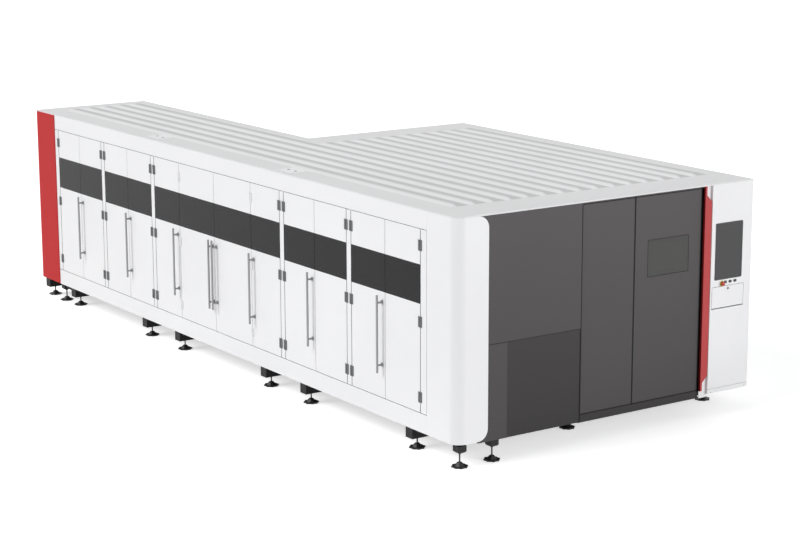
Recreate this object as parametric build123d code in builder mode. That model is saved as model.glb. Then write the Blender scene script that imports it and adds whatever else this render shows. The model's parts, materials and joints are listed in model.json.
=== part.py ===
"""Enclosed fiber laser cutting machine for sheet and tube, with an L-shaped plan.

X runs along the dark operator front, Y back along the door side and Z up.
Sizes are in millimetres. The origin is on the floor under the middle of the machine.
"""

from math import atan, cos, degrees, pi, sin
import os

from build123d import *

os.makedirs("parts", exist_ok=True)

# Overall sizes of the enclosure
length = 8700.0
width = 3560.0
height = 2300.0
narrow_width = 1450.0
host_length = 4770.0
skirt_height = 220.0

# Sheet metal of the cladding
sheet = 3.0
wall_depth = 40.0
corner_radius = 110.0
column_front = 356.0
column_side = 452.0
seam = 5.0
end_panel_width = 490.0
end_panel_proud = 8.0

# Roof
roof_lip = 14.0
roof_plate = 4.0
rib_pitch = 207.0
rib_base = 196.0
rib_top = 46.0
rib_height = 20.0
rib_side_border = 262.0
rib_front_border = 450.0
rib_host_border = 420.0
rib_far_border = 250.0
lift_plate_x = 152.0
lift_plate_ys = (2995.0, 5795.0)
lift_plate_size = (200.0, 270.0, 6.0)
lift_hole_radius = 16.0
lift_hole_spacing = 130.0

# Side doors
header_height = 180.0
door_bottom = 401.0
leaf_width = 570.0
leaf_depth = 30.0
post_width = 85.0
near_jamb = 101.0
far_jamb = 92.0
window_below_header = 330.0
window_height = 365.0
window_frame = 40.0
glass_thickness = 5.0

# Hinges of the side doors
hinge_height = 100.0
hinge_radius = 6.5
hinge_offset = 7.0
wing_thickness = 7.0
wing_start = 8.0
wing_reach = 27.0
knuckle_gap = 0.5
hinge_levels = (552.0, 1259.0, 1967.0)

# Door handles
handle_radius = 11.0
handle_axis = 60.0
handle_length = 740.0
handle_bottom = 656.0
handle_spread = 600.0
handle_inset = 48.0
middle_handle_inset = 36.0
stand_off = 12.0

# Dark front: fixed panel, sliding door and kick panel
door_left = 1433.0
fixed_panel_lap = 106.0
fixed_panel_depth = 25.0
fixed_panel_bottom = 205.0
fixed_split_height = 1104.0
fixed_split_x = 573.0
panel_skin = 8.0
groove_width = 5.0
groove_depth = 6.0
recess_depth = 4.0
door_setback = 38.0
door_thickness = 35.0
door_sill = 265.0
door_head_gap = 4.0
door_right_panel = 842.0
door_groove = 8.0
kick_bottom = 188.0
front_window_margin = 678.0
front_window_size = (512.0, 353.0)
front_window_bottom = 1481.0
rail_drop = 86.0
rail_height = 70.0
rail_depth = 26.0
hanger_width = 90.0
hanger_thickness = 10.0
slide_gap = 0.5

# Red trim between the sliding door and the console
trim_gap = 3.0
trim_narrow = 27.0
trim_wide = 90.0
trim_depth = 20.0
trim_face = 4.0

# Operator console
console_width = 530.0
console_depth = 420.0
console_sheet = 4.0
plinth_height = 48.0
plinth_groove = 3.0
console_edge = 6.0
screen_inset = 58.0
screen_size = (339.0, 543.0)
screen_bottom = 1357.0
screen_proud = 2.0
screen_corner = 12.0
stop_inset = 150.0
stop_height = 1308.0
stop_collar_radius = 28.0
stop_collar_thickness = 8.0
stop_cap_radius = 20.0
stop_stem_radius = 8.0
stop_travel = 4.0
button_insets = (195.0, 257.0, 321.0)
button_height = 1319.0
button_size = (30.0, 18.0)
button_proud = 5.0
button_gap = 0.5
flap_inset = 24.0
flap_right_margin = 95.0
flap_bottom = 1068.0
flap_top = 1279.0
flap_thickness = 16.0
flap_top_gap = 4.0
flap_bottom_gap = 6.0
flap_pin_radius = 4.0
flap_pin_length = 10.0
pin_clearance = 0.05
knob_inset = 232.0
knob_below_top = 26.0
knob_radius = 10.0
knob_length = 14.0

# Frame under the machine
beam_width = 110.0
beam_height = 112.0
beam_inset = 20.0
near_beam = 766.0
inner_beam = 2625.0
module_length = 2637.0
host_beams = (470.0, 2385.0, 4500.0)
host_beam_start = 30.0
foot_inset = 114.0
leg_size = 90.0
leg_bottom = 150.0
leg_taper = 14.0
portal_width = 60.0
near_leg_xs = (90.0, 452.0)
near_leg_y = 65.0
far_leg_y = 8237.0
pad_radius = 79.0
pad_lobes = 8
lobe_depth = 12.0
pad_rim = 14.0
hub_radius = 52.0
hub_top_radius = 22.0
pad_height = 46.0
stud_radius = 8.0
nut_radius = 15.0
nut_height = 12.0

# Beds, rails and the table
bed_height = 380.0
bed_beam_width = 180.0
bed_near_end = 520.0
bed_far_margin = 140.0
tube_beam_xs = (380.0, 1080.0)
host_end = 4300.0
table_beam_width = 140.0
right_beam_width = 250.0
right_rail_margin = 240.0
rail_size = 40.0
rack_width = 22.0
rack_height = 40.0
table_cheek = 40.0
table_ledge = 18.0
table_rise = 372.0
table_near = 560.0
table_far = 4150.0
slat_pitch = 200.0
slat_thickness = 6.0
slat_depth = 110.0
tooth_pitch = 140.0
tooth_height = 45.0

# Gantry, carriage and head
gantry_rest = 3900.0
gantry_beam_size = (200.0, 260.0)
gantry_beam_bottom = 1420.0
gantry_leg_width = 160.0
gantry_leg_length = 500.0
gantry_block = 60.0
motor_size = 86.0
motor_rise = 190.0
carriage_rest = 2400.0
carriage_size = (300.0, 44.0, 400.0)
head_size = (110.0, 100.0, 300.0)
head_tip_height = 1120.0
nozzle_length = 130.0
nozzle_radius = 36.0
nozzle_tip_radius = 8.0

# Tube chucks
tube_line_x = 730.0
tube_line_height = 1180.0
chuck_radius = 205.0
chuck_bore = 95.0
chuck_housing = 310.0
fixed_chuck_near = 4450.0
fixed_chuck_length = 250.0
moving_chuck_rest = 7900.0
chuck_running_gap = 0.4
chuck_proud = 12.0
jaw_slide = 26.0
jaw_reach = 70.0
jaw_width = 60.0
jaw_length = 90.0
jaw_block = 36.0

# Laser source cabinet
source_size = (1250.0, 390.0, 900.0)
source_left_margin = 1900.0
source_plinth = 80.0
source_gap = 6.0

# Places worked out from the sizes above
handle_reach = handle_axis + handle_radius
stop_reach = 34.0
left = (handle_reach - width) / 2
right = left + width
front = (stop_reach - length) / 2
back = front + length
narrow_right = left + narrow_width
host_back = front + host_length
wall_top = height - roof_lip
door_top = height - header_height
window_top = door_top - window_below_header
window_bottom = window_top - window_height
beam_bottom = skirt_height - beam_height
bed_top = skirt_height + bed_height
stop_face = front - stop_collar_thickness
console_x = right - console_width
trim_x = console_x - trim_gap - trim_wide
leaf_low = door_bottom + seam
leaf_high = door_top - seam


def facing_front(y):
    """Plane at y whose local axes are X and Z; a negative extrusion goes into the machine."""
    return Plane.XZ.offset(-y)


def span(a_low, a_high, b_low, b_high, mode=Mode.ADD):
    """Rectangle between two limits along each local axis of the open sketch."""
    with Locations(((a_low + a_high) / 2, (b_low + b_high) / 2)):
        Rectangle(a_high - a_low, b_high - b_low, mode=mode)


def block(x_low, x_high, y_low, y_high, z_low, z_high, mode=Mode.ADD):
    """Solid bar between two limits along each axis, in the open part."""
    with Locations(((x_low + x_high) / 2, (y_low + y_high) / 2, (z_low + z_high) / 2)):
        Box(abs(x_high - x_low), abs(y_high - y_low), z_high - z_low, mode=mode)


def bar(x_low, x_high, y_low, y_high, z_low, z_high):
    """One closed tube of a frame, a piece of its own."""
    with BuildPart() as tube:
        block(x_low, x_high, y_low, y_high, z_low, z_high)
    return tube.part


def keep(name, *pieces):
    """Label and write one sub-part: a single piece, or several that touch without being fused."""
    whole = pieces[0] if len(pieces) == 1 else Compound(children=list(pieces))
    whole.label = name
    export_step(whole, f"parts/{name}.step")


def hinge_half(y_axis, z_middle, side, lower):
    """Half of a surface hinge: a faceted knuckle, the web beside it and the wing on the face.

    side is 1 where the wing lies on the far side of the hinge line and -1 on the near side.
    """
    half = hinge_height / 2
    z_low = z_middle - half if lower else z_middle + knuckle_gap / 2
    z_high = z_middle - knuckle_gap / 2 if lower else z_middle + half
    near_web, far_web = sorted((y_axis, y_axis + side * wing_reach))
    near_wing, far_wing = sorted((y_axis + side * wing_start, y_axis + side * wing_reach))
    with BuildPart() as plate:
        with BuildSketch(Plane.XY.offset(z_low)):
            with Locations((left - hinge_offset, y_axis)):
                RegularPolygon(hinge_radius, 6)
            span(left - wing_thickness, left, near_web, far_web)
        extrude(amount=z_high - z_low)
        with BuildSketch(Plane.XY.offset(z_middle - half)):
            span(left - wing_thickness, left, near_wing, far_wing)
        extrude(amount=hinge_height)
    return plate.part


# Side doors: five bays of leaves from the near corner back, the middle one with folding leaves.
# The folding leaves take what is left of the length.
bay_start = front + column_side + near_jamb
fixed_run = column_side + near_jamb + 10 * leaf_width + 4 * post_width + far_jamb + end_panel_width
fold_width = (length - fixed_run) / 2
pair = (("near", leaf_width), ("far", leaf_width))
four = (("near", leaf_width), ("near_fold", fold_width), ("far_fold", fold_width), ("far", leaf_width))
leaves = []
post_starts = []
y_edge = bay_start
for bay_number, bay in enumerate((pair, pair, four, pair, pair), start=1):
    for place, leaf_size in bay:
        leaves.append((bay_number, place, y_edge, y_edge + leaf_size))
        y_edge += leaf_size
    if bay_number < 5:
        post_starts.append(y_edge)
        y_edge += post_width
bay_end = y_edge
handled = {(1, "far"), (2, "far"), (4, "near"), (5, "near")}

for bay_number, place, y_near, y_far in leaves:
    name = f"{bay_number}_{place}"
    hinged_near = place.startswith("near")
    hinge_line = y_near if hinged_near else y_far
    free_line = y_far if hinged_near else y_near
    away = 1 if hinged_near else -1

    # A leaf is a tray folded from sheet, with a frame behind the glass
    with BuildPart() as leaf:
        with BuildSketch(Plane.XY.offset(leaf_low)):
            span(left, left + leaf_depth, y_near + seam / 2, y_far - seam / 2)
        extrude(amount=leaf_high - leaf_low)
        with BuildSketch(Plane.YZ.offset(left)):
            span(y_near, y_far, window_bottom, window_top)
        extrude(amount=glass_thickness, mode=Mode.SUBTRACT)
        with BuildSketch(Plane.YZ.offset(left + glass_thickness)):
            span(y_near + window_frame, y_far - window_frame,
                 window_bottom + window_frame, window_top - window_frame)
        extrude(amount=leaf_depth, mode=Mode.SUBTRACT)
        with BuildSketch(Plane.YZ.offset(left + sheet)):
            span(y_near + seam / 2 + sheet, y_far - seam / 2 - sheet,
                 leaf_low + sheet, window_bottom - sheet)
            span(y_near + seam / 2 + sheet, y_far - seam / 2 - sheet,
                 window_top + sheet, leaf_high - sheet)
        extrude(amount=leaf_depth, mode=Mode.SUBTRACT)
        for level in hinge_levels:
            add(hinge_half(hinge_line, level, away, lower=False))
        if bay_number == 3 and not place.endswith("fold"):
            for level in hinge_levels:
                add(hinge_half(free_line, level, -away, lower=True))
    keep(f"door_{name}", leaf.part)

    # The pane lies in its recess, flush with the door's face
    with BuildPart() as pane:
        with BuildSketch(Plane.YZ.offset(left)):
            span(y_near + seam / 2, y_far - seam / 2, window_bottom, window_top)
        extrude(amount=glass_thickness)
    keep(f"pane_{name}", pane.part)

    # A tubular handle on two stand-offs, beside the leaf's free edge
    if bay_number == 3 or (bay_number, place) in handled:
        inset = middle_handle_inset if place.endswith("fold") else handle_inset
        handle_y = free_line - away * inset
        stand_off_low = handle_bottom + (handle_length - handle_spread) / 2
        with BuildPart() as handle:
            with Locations((left - handle_axis, handle_y, handle_bottom)):
                Cylinder(handle_radius, handle_length, align=(Align.CENTER, Align.CENTER, Align.MIN))
            for level in (stand_off_low, stand_off_low + handle_spread):
                block(left - handle_axis, left, handle_y - stand_off / 2, handle_y + stand_off / 2,
                      level - stand_off / 2, level + stand_off / 2)
        keep(f"handle_{name}", handle.part)

# Fixed halves of the hinges, on the posts and jambs
hinge_plates = []
for bay_number, place, y_near, y_far in leaves:
    if not place.endswith("fold"):
        hinge_line = y_near if place == "near" else y_far
        onto_post = -1 if place == "near" else 1
        hinge_plates += [hinge_half(hinge_line, level, onto_post, lower=True) for level in hinge_levels]
keep("hinge_plates", *hinge_plates)

# Side frame: folded header and sill channels with box posts and jambs between them.
# Narrow joint lines part it from the column and show where each post meets the channels.
frame_start = front + column_side + seam
frame_end = back - end_panel_width
side_members = []
for z_low, z_high in ((door_top, wall_top), (skirt_height, door_bottom)):
    with BuildPart() as channel:
        with BuildSketch(facing_front(frame_start)):
            span(left, left + wall_depth, z_low, z_high)
            span(left + sheet, left + wall_depth, z_low + sheet, z_high - sheet, mode=Mode.SUBTRACT)
        extrude(amount=-(frame_end - frame_start))
    side_members.append(channel.part)
uprights = [(frame_start, bay_start), (bay_end, frame_end)]
uprights += [(start, start + post_width) for start in post_starts]
for y_low, y_high in uprights:
    with BuildPart() as post:
        with BuildSketch(Plane.XY.offset(door_bottom)):
            span(left, left + wall_depth, y_low, y_high)
            span(left + sheet, left + wall_depth - sheet, y_low + sheet, y_high - sheet, mode=Mode.SUBTRACT)
        extrude(amount=door_top - door_bottom)
        for z_low, z_high in ((door_bottom, leaf_low), (leaf_high, door_top)):
            block(left, left + 3 * sheet, y_low, y_high, z_low, z_high, mode=Mode.SUBTRACT)
    side_members.append(post.part)
keep("side_frame", *side_members)

# Near corner column: one sheet bent round the corner, its front end rounded above and below
column_end = front + column_side
with BuildPart() as corner_column:
    with BuildSketch(Plane.XY.offset(skirt_height)) as column_plan:
        with BuildLine():
            Polyline(
                (left, front), (left + column_front, front), (left + column_front, front + sheet),
                (left + sheet, front + sheet), (left + sheet, column_end - sheet),
                (left + wall_depth, column_end - sheet), (left + wall_depth, column_end),
                (left, column_end), close=True)
        make_face()
        outer_corner = column_plan.vertices().sort_by_distance((left, front))[0]
        fillet(outer_corner, corner_radius)
        inner_corner = column_plan.vertices().sort_by_distance((left + sheet, front + sheet))[0]
        fillet(inner_corner, corner_radius - sheet)
    extrude(amount=wall_top - skirt_height)
    end_face = corner_column.faces().filter_by(Axis.X).sort_by(Axis.X)[-1]
    fillet(end_face.edges().filter_by(Axis.Y), corner_radius)
keep("corner_column", corner_column.part)

# Far end panel, a proud tray
with BuildPart() as end_panel:
    block(left - end_panel_proud, left + wall_depth, frame_end, back, skirt_height + seam, wall_top)
    block(left - end_panel_proud + sheet, left + wall_depth, frame_end + sheet, back - sheet,
          skirt_height + seam + sheet, wall_top - sheet, mode=Mode.SUBTRACT)
    outer_edges = end_panel.edges().filter_by(Axis.Z).group_by(Axis.X)[0]
    fillet(outer_edges, 2 * sheet)
keep("end_panel", end_panel.part)


def wall_trays(start, end, count, place):
    """Row of folded wall trays between two limits; place gives a tray's plan from its ends."""
    pitch = (end - start) / count
    row = []
    for number in range(count):
        low = start + number * pitch + (seam / 2 if number else 0)
        high = start + (number + 1) * pitch - (seam / 2 if number < count - 1 else 0)
        outer, hollow = place(low, high)
        with BuildPart() as tray:
            block(*outer, skirt_height, wall_top)
            block(*hollow, skirt_height + sheet, wall_top - sheet, mode=Mode.SUBTRACT)
        row.append(tray.part)
    return row


def right_face(low, high):
    """Tray on the right-hand face, open to the inside."""
    return ((right - wall_depth, right, low, high),
            (right - wall_depth, right - sheet, low + sheet, high - sheet))


def inner_face(low, high):
    """Tray on the inner side of the narrow bay."""
    return ((narrow_right - wall_depth, narrow_right, low, high),
            (narrow_right - wall_depth, narrow_right - sheet, low + sheet, high - sheet))


def host_back_face(low, high):
    """Tray on the back of the wide bay."""
    return ((low, high, host_back - wall_depth, host_back),
            (low + sheet, high - sheet, host_back - wall_depth, host_back - sheet))


def far_face(low, high):
    """Tray on the far end."""
    return ((low, high, back - wall_depth, back),
            (low + sheet, high - sheet, back - wall_depth, back - sheet))


# Walls on the sides away from the operator, in trays about a metre wide
rear_walls = wall_trays(front + console_depth, host_back - wall_depth, 4, right_face)
rear_walls += wall_trays(host_back, back - wall_depth, 4, inner_face)
rear_walls += wall_trays(narrow_right, right, 2, host_back_face)
rear_walls += wall_trays(left + wall_depth, narrow_right, 1, far_face)
keep("rear_walls", *rear_walls)

# Roof: an L-shaped lid with turned-down edges, pressed ribs and two lifting plates
rib_slope = degrees(atan((rib_base - rib_top) / 2 / rib_height))
long_ribs = int((narrow_width - rib_side_border) / rib_pitch)
all_ribs = int((width - rib_side_border) / rib_pitch)
with BuildPart() as roof:
    with BuildSketch(Plane.XY.offset(wall_top)) as lid:
        with BuildLine():
            Polyline((left, front), (right, front), (right, host_back), (narrow_right, host_back),
                     (narrow_right, back), (left, back), close=True)
        make_face()
        fillet(lid.vertices().sort_by_distance((left, front))[0], corner_radius)
    extrude(amount=roof_lip)
    with BuildSketch(Plane.XY.offset(wall_top)) as hollow_lid:
        add(lid.sketch)
        offset(amount=-sheet, kind=Kind.INTERSECTION, mode=Mode.REPLACE)
    extrude(amount=roof_lip - roof_plate, mode=Mode.SUBTRACT)
    for level, direction in ((height, Mode.ADD), (height - roof_plate, Mode.SUBTRACT)):
        with BuildSketch(Plane.XY.offset(level)):
            for number in range(all_ribs):
                rib_x = left + rib_side_border + (number + 0.5) * rib_pitch
                on_long_part = number < long_ribs
                rib_end = back - rib_far_border if on_long_part else host_back - rib_host_border
                span(rib_x - rib_base / 2, rib_x + rib_base / 2, front + rib_front_border, rib_end)
        extrude(amount=rib_height, taper=rib_slope, mode=direction)
    plate_x = left + lift_plate_x
    plate_width, plate_length, plate_thickness = lift_plate_size
    for plate_y in lift_plate_ys:
        block(plate_x - plate_width / 2, plate_x + plate_width / 2, front + plate_y - plate_length / 2,
              front + plate_y + plate_length / 2, height, height + plate_thickness)
        with Locations((plate_x, front + plate_y - lift_hole_spacing / 2, height),
                       (plate_x, front + plate_y + lift_hole_spacing / 2, height)):
            Cylinder(lift_hole_radius, 4 * plate_thickness, mode=Mode.SUBTRACT)
keep("roof", roof.part)

# Dark fixed front panel with its grooves, the kick panel and the door's top rail
door_x = left + door_left
door_x_end = trim_x - seam
door_face = front + door_setback
door_back = door_face + door_thickness
rail_face = door_back + 2 * sheet
rail_back = rail_face + rail_depth
rail_top = wall_top - rail_drop + rail_height
hanger_back = rail_back + 2 * sheet
panel_face = front + sheet
panel_x = left + column_front - fixed_panel_lap
split_x = left + fixed_split_x
with BuildPart() as front_panels:
    block(panel_x, door_x, panel_face, panel_face + fixed_panel_depth, fixed_panel_bottom, wall_top)
    block(panel_x + sheet, door_x - sheet, panel_face + panel_skin, panel_face + fixed_panel_depth,
          fixed_panel_bottom + sheet, wall_top - sheet, mode=Mode.SUBTRACT)
    block(left + column_front, door_x, panel_face, panel_face + groove_depth,
          fixed_split_height - groove_width / 2, fixed_split_height + groove_width / 2, mode=Mode.SUBTRACT)
    block(split_x, door_x, panel_face, panel_face + recess_depth,
          fixed_panel_bottom, fixed_split_height, mode=Mode.SUBTRACT)
    block(door_x, door_x_end, door_face, door_face + fixed_panel_depth, kick_bottom, door_sill - sheet)
    block(left + 2 * wall_depth, door_x_end, rail_face, rail_back, rail_top - rail_height, rail_top)
keep("front_panels", front_panels.part)

# Sliding front door: two dark skins on one frame, hung from the rail on two hangers
skin_low = door_sill
skin_high = wall_top - door_head_gap
door_low_x = door_x + seam
door_high_x = door_x_end - seam
split_door_x = door_x_end - door_right_panel
window_x = door_x_end - front_window_margin
window_width, window_rise = front_window_size
with BuildPart() as front_door:
    block(door_low_x, door_high_x, door_face, door_back, skin_low, skin_high)
    block(split_door_x - door_groove / 2, split_door_x + door_groove / 2, door_face, door_face + 2 * groove_depth,
          skin_low, skin_high, mode=Mode.SUBTRACT)
    for x_low, x_high in ((door_low_x, split_door_x), (split_door_x, door_high_x)):
        for z_low, z_high in ((skin_low, front_window_bottom - window_frame),
                              (front_window_bottom + window_rise + window_frame, skin_high)):
            block(x_low + window_frame, x_high - window_frame, door_back - 20, door_back,
                  z_low + window_frame, z_high - window_frame, mode=Mode.SUBTRACT)
    block(window_x, window_x + window_width, door_face, door_face + glass_thickness,
          front_window_bottom, front_window_bottom + window_rise, mode=Mode.SUBTRACT)
    block(window_x + window_frame, window_x + window_width - window_frame, door_face, door_back,
          front_window_bottom + window_frame, front_window_bottom + window_rise - window_frame,
          mode=Mode.SUBTRACT)
    for hanger_x in (door_low_x + hanger_width, door_high_x - hanger_width):
        with BuildSketch(Plane.YZ.offset(hanger_x - hanger_width / 2)):
            with BuildLine():
                Polyline((door_back, rail_top - rail_height), (door_back + sheet, rail_top - rail_height),
                         (door_back + sheet, rail_top + slide_gap), (hanger_back - sheet, rail_top + slide_gap),
                         (hanger_back - sheet, rail_top - rail_height / 3), (hanger_back, rail_top - rail_height / 3),
                         (hanger_back, rail_top + slide_gap + hanger_thickness),
                         (door_back, rail_top + slide_gap + hanger_thickness), close=True)
            make_face()
        extrude(amount=hanger_width)
keep("front_door", front_door.part)

with BuildPart() as front_door_window:
    block(window_x, window_x + window_width, door_face, door_face + glass_thickness,
          front_window_bottom, front_window_bottom + window_rise)
keep("front_door_window", front_door_window.part)

# Red trim: a plate that is narrow at its ends and steps out to the console along its middle
flange_face = front + trim_face + trim_depth
with BuildPart() as red_trim:
    with BuildSketch(facing_front(front + trim_face)):
        with BuildLine():
            Polyline((trim_x, 262), (trim_x + trim_narrow, 262), (trim_x + trim_narrow, 345),
                     (trim_x + trim_wide, 410), (trim_x + trim_wide, wall_top - 158),
                     (trim_x + trim_narrow, wall_top - 94), (trim_x + trim_narrow, wall_top),
                     (trim_x, wall_top), close=True)
        make_face()
    extrude(amount=-trim_depth)
    chamfer(red_trim.edges().filter_by(Axis.Z).group_by(Axis.Y)[0], sheet)
keep("red_trim", red_trim.part)

# Console: a cabinet of folded sheet, open inside, with a flange behind the trim
screen_x = console_x + screen_inset
screen_width, screen_rise = screen_size
stop_x = console_x + stop_inset
flap_x = console_x + flap_inset
flap_x_end = right - flap_right_margin
flap_axis_y = front + flap_thickness / 2
flap_axis_z = flap_bottom + flap_thickness / 2
button_width, button_rise = button_size
with BuildPart() as console_body:
    block(console_x, right, front, front + console_depth, skirt_height, wall_top)
    fillet(console_body.edges().filter_by(Axis.Z).sort_by_distance((right, front, height / 2))[0], console_edge)
    block(console_x + console_sheet, right - console_sheet, front + console_sheet, front + console_depth,
          skirt_height + console_sheet, wall_top - console_sheet, mode=Mode.SUBTRACT)
    block(trim_x, console_x, flange_face, flange_face + sheet, kick_bottom, wall_top)
    plinth_z = skirt_height + plinth_height
    block(console_x, right, front, front + plinth_groove, plinth_z - groove_width, plinth_z, mode=Mode.SUBTRACT)
    block(screen_x, screen_x + screen_width, front, front + console_sheet,
          screen_bottom, screen_bottom + screen_rise, mode=Mode.SUBTRACT)
    block(flap_x - flap_top_gap, flap_x_end + flap_top_gap, front, front + console_sheet,
          flap_bottom - flap_bottom_gap, flap_top + flap_top_gap, mode=Mode.SUBTRACT)
    for inset in button_insets:
        block(console_x + inset - button_width / 2 - button_gap, console_x + inset + button_width / 2 + button_gap,
              front, front + console_sheet, button_height - button_rise / 2 - button_gap,
              button_height + button_rise / 2 + button_gap, mode=Mode.SUBTRACT)
    with BuildSketch(facing_front(front)):
        with Locations((stop_x, stop_height)):
            Circle(stop_collar_radius)
    extrude(amount=stop_collar_thickness)
    with BuildSketch(facing_front(stop_face)):
        with Locations((stop_x, stop_height)):
            Circle(stop_stem_radius + button_gap)
    extrude(amount=-(stop_collar_thickness + console_sheet), mode=Mode.SUBTRACT)
    lug_start = flap_x - flap_top_gap
    lug_end = flap_x_end + flap_top_gap
    lug_half = flap_thickness / 2 + console_sheet
    for x_low, x_high in ((lug_start - 2 * console_sheet, lug_start), (lug_end, lug_end + 2 * console_sheet)):
        block(x_low, x_high, front + console_sheet, flap_axis_y + lug_half,
              flap_axis_z - lug_half, flap_axis_z + lug_half)
    with Locations(Location(((flap_x + flap_x_end) / 2, flap_axis_y, flap_axis_z), (0, 90, 0))):
        Cylinder(flap_pin_radius + pin_clearance, lug_end - lug_start + 4 * console_sheet, mode=Mode.SUBTRACT)
keep("console_body", console_body.part)

with BuildPart() as console_screen:
    with BuildSketch(facing_front(front - screen_proud)):
        with Locations((screen_x + screen_width / 2, screen_bottom + screen_rise / 2)):
            RectangleRounded(screen_width - slide_gap, screen_rise - slide_gap, screen_corner)
    extrude(amount=-(screen_proud + console_sheet))
    with BuildSketch(facing_front(front + console_sheet)):
        span(screen_x - 2 * console_sheet, screen_x + screen_width + 2 * console_sheet,
             screen_bottom - 2 * console_sheet, screen_bottom + screen_rise + 2 * console_sheet)
    extrude(amount=-wall_depth)
keep("console_screen", console_screen.part)

# Emergency stop: a mushroom cap on its stem, clear of the collar by its travel
cap_back = stop_face - stop_travel - slide_gap
cap_front = front - stop_reach
with BuildPart() as stop_button:
    with BuildSketch(facing_front(cap_front)):
        with Locations((stop_x, stop_height)):
            Circle(stop_cap_radius)
    extrude(amount=-(cap_back - cap_front))
    with BuildSketch(facing_front(cap_back)):
        with Locations((stop_x, stop_height)):
            Circle(stop_stem_radius)
    extrude(amount=-(front + 4 * console_sheet - cap_back))
keep("stop_button", stop_button.part)

for number, inset in enumerate(button_insets, start=1):
    button_x = console_x + inset
    with BuildPart() as push_button:
        block(button_x - button_width / 2, button_x + button_width / 2, front - button_proud,
              front + 3 * console_sheet, button_height - button_rise / 2, button_height + button_rise / 2)
        cap_edges = push_button.faces().sort_by(Axis.Y)[0].edges()
        chamfer(cap_edges, 1)
    keep(f"push_button_{number}", push_button.part)

# Keyboard flap: a plate that turns down on two pins in its rounded lower edge
with BuildPart() as keyboard_flap:
    block(flap_x, flap_x_end, front, front + flap_thickness, flap_bottom, flap_top)
    lower_edges = keyboard_flap.faces().sort_by(Axis.Z)[0].edges().filter_by(Axis.X)
    fillet(lower_edges, flap_thickness / 2 - 0.1)
    with Locations(Location(((flap_x + flap_x_end) / 2, flap_axis_y, flap_axis_z), (0, 90, 0))):
        Cylinder(flap_pin_radius, flap_x_end - flap_x + 2 * flap_pin_length)
    with BuildSketch(facing_front(front)):
        with Locations((console_x + knob_inset, flap_top - knob_below_top)):
            Circle(knob_radius)
    extrude(amount=knob_length)
keep("keyboard_flap", keyboard_flap.part)

# Base frame: cross beams under the skirt with the bed beams on them
near_tube_beams = [near_beam + k * module_length for k in range(3)]
inner_tube_beams = [inner_beam + k * module_length for k in range(3)]
end_beam = length - pad_radius - seam
tube_beams = sorted(near_tube_beams + inner_tube_beams + [end_beam])
right_rail_x = right - right_rail_margin
table_left = narrow_right + host_beam_start + table_beam_width / 2
table_right = right_rail_x - right_beam_width / 2
rail_line_xs = [left + x for x in tube_beam_xs]
bed_far_end = back - bed_far_margin
chuck_x = left + tube_line_x
fixed_chuck_y = front + fixed_chuck_near
sill_low = fixed_panel_bottom - 1
beam_half = beam_width / 2
members = []
for beam_y in tube_beams:
    beam_front = front + beam_y - beam_half
    members.append(bar(left + beam_inset, narrow_right - beam_inset, beam_front, beam_front + beam_width,
                       beam_bottom, skirt_height))
for beam_y in host_beams:
    beam_front = front + beam_y - beam_half
    members.append(bar(narrow_right + host_beam_start, right - beam_inset, beam_front, beam_front + beam_width,
                       beam_bottom, skirt_height))
for rail_x in rail_line_xs:
    members.append(bar(rail_x - bed_beam_width / 2, rail_x + bed_beam_width / 2,
                       front + bed_near_end, bed_far_end, skirt_height, bed_top))
for beam_middle, beam_size in ((table_left, table_beam_width), (right_rail_x, right_beam_width)):
    members.append(bar(beam_middle - beam_size / 2, beam_middle + beam_size / 2,
                       front + bed_near_end, front + host_end, skirt_height, bed_top))

# A portal of tubes behind the front door: sill, lintel and two posts, tied back to the beams
portal_left = left + near_leg_xs[0] - leg_size / 2
portal_right = console_x - seam
portal_back = rail_back + portal_width
lintel_top = rail_top - rail_height / 3 - 2 * sheet
lintel_low = lintel_top - portal_width
sill_front = door_face + fixed_panel_depth
sill_top = door_sill - sheet
members.append(bar(portal_left, portal_right, sill_front, portal_back, sill_low, sill_top))
members.append(bar(portal_left, portal_right, rail_back, portal_back, lintel_low, lintel_top))
for post_left in (portal_left, portal_right - portal_width):
    members.append(bar(post_left, post_left + portal_width, hanger_back + 1, portal_back, sill_top, lintel_low))
tie_half = portal_width / 2
host_beam_front = front + host_beams[0] - beam_half
ties = [(tie_x, portal_back, front + near_beam - beam_half) for tie_x in rail_line_xs]
ties += [(tie_x, portal_back, host_beam_front) for tie_x in (table_left, console_x - portal_width)]
ties.append((right - console_width / 2, front + console_depth / 2, host_beam_front))
last_inner_beam = front + inner_tube_beams[-1] + beam_half
ties.append((left + near_leg_xs[0], last_inner_beam, front + far_leg_y - leg_size / 2))
for tie_x, tie_front, tie_back in ties:
    members.append(bar(tie_x - tie_half, tie_x + tie_half, tie_front, tie_back,
                       skirt_height - portal_width, skirt_height))

# Corner legs with bevelled feet, under the sill and under the far end of the side frame
leg_places = [(left + x, front + near_leg_y, sill_low) for x in near_leg_xs]
leg_places.append((left + near_leg_xs[0], front + far_leg_y, skirt_height))
for leg_x, leg_y, leg_top in leg_places:
    with BuildPart() as leg:
        with BuildSketch(Plane.XY.offset(leg_top)):
            with Locations((leg_x, leg_y)):
                Rectangle(leg_size, leg_size)
        extrude(amount=-(leg_top - leg_bottom + leg_taper))
        chamfer(leg.faces().sort_by(Axis.Z)[0].edges(), leg_taper)
    members.append(leg.part)

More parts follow.
